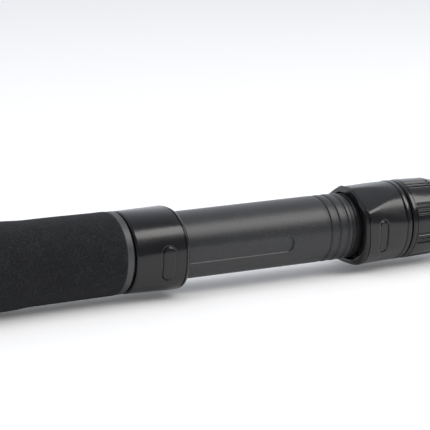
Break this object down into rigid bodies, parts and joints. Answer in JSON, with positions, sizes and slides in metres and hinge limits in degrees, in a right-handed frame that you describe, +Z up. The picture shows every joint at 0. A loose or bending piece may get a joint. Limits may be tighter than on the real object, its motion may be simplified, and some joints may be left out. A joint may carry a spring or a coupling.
{
  "type": "telescopic boom pole",
  "caption": "Telescopic boom pole with a foam grip, twist-lock collars, nested dark tubes and a threaded tip for a microphone mount.",
  "frame": {"origin": "centre of the butt's end face, on the pole's axis", "axes": "+X along the pole towards the threaded tip, +Z up as the pole lies on a table, -Y towards the side that carries the guide groove"},
  "size_m": [0.849, 0.04, 0.04],
  "materials": {
    "graphite_tube": "satin graphite anodised, fine speckle",
    "gloss_black": "high gloss black moulding",
    "foam_black": "closed-cell foam, matte, fine pores",
    "satin_ring": "satin grey anodised",
    "butt_rubber": "matte moulded rubber",
    "seal_rubber": "smooth rubber",
    "bush_plastic": "natural acetal",
    "sleeve_black": "black acetal",
    "collet_plastic": "moulded nylon",
    "key_steel": "ground",
    "stud_steel": "turned, bright",
    "head_grey": "satin dark anodised"
  },
  "bodies": {
    "handle": {"butt_bumper": "butt_rubber", "butt_plug": "satin_ring", "outer_tube": "graphite_tube", "foam_grip": "foam_black", "grip_ring_front": "satin_ring", "grip_ring_rear": "satin_ring", "lock_sleeve_1": "sleeve_black", "guide_key_1": "key_steel", "collet_1": "collet_plastic"},
    "nut_1": {"lock_nut_1": "gloss_black", "wiper_ring_1": "seal_rubber"},
    "section_2": {"tube_2": "graphite_tube", "rear_bush_2": "bush_plastic", "lock_sleeve_2": "sleeve_black", "guide_key_2": "key_steel", "collet_2": "collet_plastic"},
    "nut_2": {"lock_nut_2": "gloss_black", "wiper_ring_2": "seal_rubber"},
    "section_3": {"tube_3": "graphite_tube", "rear_bush_3": "bush_plastic", "lock_sleeve_3": "sleeve_black", "guide_key_3": "key_steel", "collet_3": "collet_plastic"},
    "nut_3": {"lock_nut_3": "gloss_black", "wiper_ring_3": "seal_rubber"},
    "section_4": {"tube_4": "graphite_tube", "rear_bush_4": "bush_plastic", "lock_sleeve_4": "sleeve_black", "guide_key_4": "key_steel", "collet_4": "collet_plastic"},
    "nut_4": {"lock_nut_4": "gloss_black", "wiper_ring_4": "seal_rubber"},
    "section_5": {"tube_5": "graphite_tube", "rear_bush_5": "bush_plastic", "tip_socket": "head_grey", "thread_stud": "stud_steel"},
    "stop_ring": {"thumb_ring": "satin_ring"}
  },
  "joints": [
    {"name": "nut_1_twist", "type": "hinge", "parent": "handle", "child": "nut_1", "pos_m": [0.633, 0, 0], "axis": [1, 0, 0], "range_deg": [0, 90]},
    {"name": "section_2_slide", "type": "slide", "parent": "handle", "child": "section_2", "axis": [1, 0, 0], "range_m": [-0.066, 0.464]},
    {"name": "nut_2_twist", "type": "hinge", "parent": "section_2", "child": "nut_2", "pos_m": [0.749, 0, 0], "axis": [1, 0, 0], "range_deg": [0, 90]},
    {"name": "section_3_slide", "type": "slide", "parent": "section_2", "child": "section_3", "axis": [1, 0, 0], "range_m": [0, 0.5573]},
    {"name": "nut_3_twist", "type": "hinge", "parent": "section_3", "child": "nut_3", "pos_m": [0.776, 0, 0], "axis": [1, 0, 0], "range_deg": [0, 90]},
    {"name": "section_4_slide", "type": "slide", "parent": "section_3", "child": "section_4", "axis": [1, 0, 0], "range_m": [0, 0.5725]},
    {"name": "nut_4_twist", "type": "hinge", "parent": "section_4", "child": "nut_4", "pos_m": [0.801, 0, 0], "axis": [1, 0, 0], "range_deg": [0, 90]},
    {"name": "section_5_slide", "type": "slide", "parent": "section_4", "child": "section_5", "axis": [1, 0, 0], "range_m": [0, 0.5815]},
    {"name": "stop_ring_twist", "type": "hinge", "parent": "section_5", "child": "stop_ring", "pos_m": [0.835, 0, 0], "axis": [1, 0, 0], "range_deg": [-180, 180]}
  ]
}
